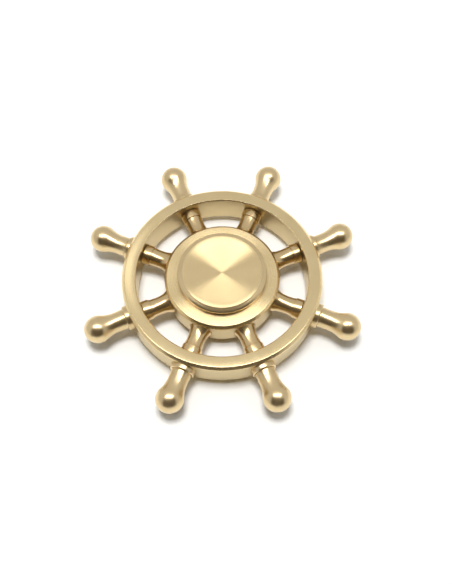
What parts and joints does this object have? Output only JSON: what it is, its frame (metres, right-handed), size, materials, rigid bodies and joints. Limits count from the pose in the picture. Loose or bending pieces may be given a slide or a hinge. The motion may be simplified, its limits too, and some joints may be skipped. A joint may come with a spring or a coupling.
{
  "type": "hand spinner",
  "caption": "Brass hand spinner shaped as a ship's wheel: a rim with turned spokes and ball-ended handles turns on a ball bearing between two dished finger caps.",
  "frame": {"origin": "centre of the ball bearing, half way between the two finger caps", "axes": "+Z along the spin axis towards the top finger cap; +X midway between two handles"},
  "size_m": [0.0698, 0.0698, 0.0124],
  "materials": {
    "brass_satin": "satin, fine blasted, bright edges",
    "brass_turned": "turned and polished",
    "brass_cap": "face turned, fine concentric lathe lines",
    "bearing_steel": "ground and polished",
    "retainer_steel": "satin"
  },
  "bodies": {
    "finger_caps": {"top_cap": "brass_cap", "bottom_cap": "brass_cap", "bearing_inner_race": "bearing_steel"},
    "wheel": {"rim_ring": "brass_satin", "hub_body": "brass_satin", "spoke_1": "brass_turned", "spoke_2": "brass_turned", "spoke_3": "brass_turned", "spoke_4": "brass_turned", "spoke_5": "brass_turned", "spoke_6": "brass_turned", "spoke_7": "brass_turned", "spoke_8": "brass_turned", "handle_1": "brass_turned", "handle_2": "brass_turned", "handle_3": "brass_turned", "handle_4": "brass_turned", "handle_5": "brass_turned", "handle_6": "brass_turned", "handle_7": "brass_turned", "handle_8": "brass_turned", "bearing_outer_race": "bearing_steel"},
    "ball_cage": {"ball_retainer": "retainer_steel", "bearing_ball_01": "bearing_steel", "bearing_ball_02": "bearing_steel", "bearing_ball_03": "bearing_steel", "bearing_ball_04": "bearing_steel", "bearing_ball_05": "bearing_steel", "bearing_ball_06": "bearing_steel", "bearing_ball_07": "bearing_steel", "bearing_ball_08": "bearing_steel", "bearing_ball_09": "bearing_steel", "bearing_ball_10": "bearing_steel"}
  },
  "joints": [
    {"name": "wheel_spin", "type": "hinge", "parent": "finger_caps", "child": "wheel", "pos_m": [0, 0, 0], "axis": [0, 0, 1], "continuous": true},
    {"name": "cage_spin", "type": "hinge", "parent": "finger_caps", "child": "ball_cage", "pos_m": [0, 0, 0], "axis": [0, 0, 1], "continuous": true}
  ],
  "couplings": [
    {"joint": "cage_spin", "follows": "wheel_spin", "ratio": 0.58336}
  ]
}
